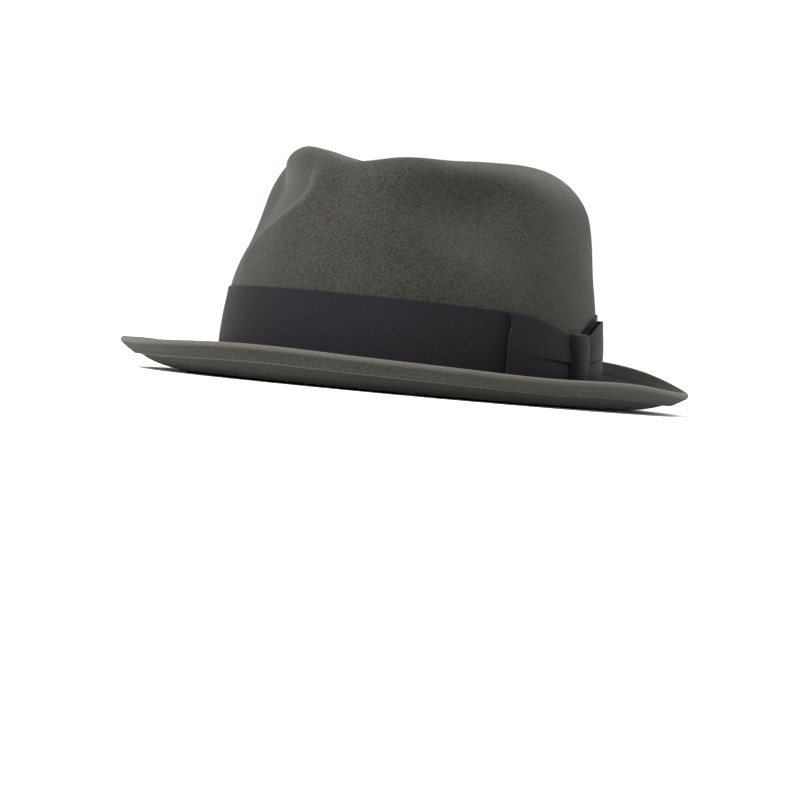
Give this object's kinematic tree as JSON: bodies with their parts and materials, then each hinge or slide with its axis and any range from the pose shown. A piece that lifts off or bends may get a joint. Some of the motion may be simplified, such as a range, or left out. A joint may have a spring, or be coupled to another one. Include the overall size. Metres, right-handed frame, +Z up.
{
  "type": "fedora hat",
  "caption": "Felt fedora hat with pinched crown, short turned-up brim, ribbon band with side bow, sweatband and lining.",
  "frame": {"origin": "on the surface the brim rests on, below the middle of the hat", "axes": "+Z up through the crown, -Y to the front of the hat, +X to the wearer's left, where the bow is"},
  "size_m": [0.2732, 0.3127, 0.1159],
  "materials": {
    "felt": "matt fur felt with a short nap",
    "felt_thread": "matt thread",
    "ribbon": "ribbed grosgrain, soft sheen",
    "ribbon_thread": "matt thread",
    "sweatband_leather": "semi-matt grained leather",
    "reed_plastic": "satin",
    "tape": "woven tape",
    "lining_thread": "matt thread",
    "small_ribbon": "satin ribbon",
    "lining": "satin weave",
    "piping": "satin cord",
    "label_cloth": "woven satin tape, blank"
  },
  "bodies": {
    "hat": {"felt_crown": "felt", "felt_brim": "felt", "welt_stitching": "felt_thread", "ribbon_band": "ribbon", "bow_front_loop": "ribbon", "bow_rear_loop": "ribbon", "bow_knot": "ribbon", "bow_tacks": "ribbon_thread", "sweatband": "sweatband_leather", "sweatband_reed": "reed_plastic", "reed_tape": "tape", "sweatband_stitching": "lining_thread", "sweatband_back_seam": "lining_thread", "sweatband_bow": "small_ribbon", "lining_side": "lining", "lining_tip": "lining", "lining_piping": "piping", "lining_tacks": "lining_thread", "label_stitching": "lining_thread"},
    "care_label": {"care_label": "label_cloth"}
  },
  "joints": [
    {"name": "label_flip", "type": "hinge", "parent": "hat", "child": "care_label", "pos_m": [0.08193, 0, 0.05], "axis": [0, 1, 0], "range_deg": [0, 150]}
  ]
}
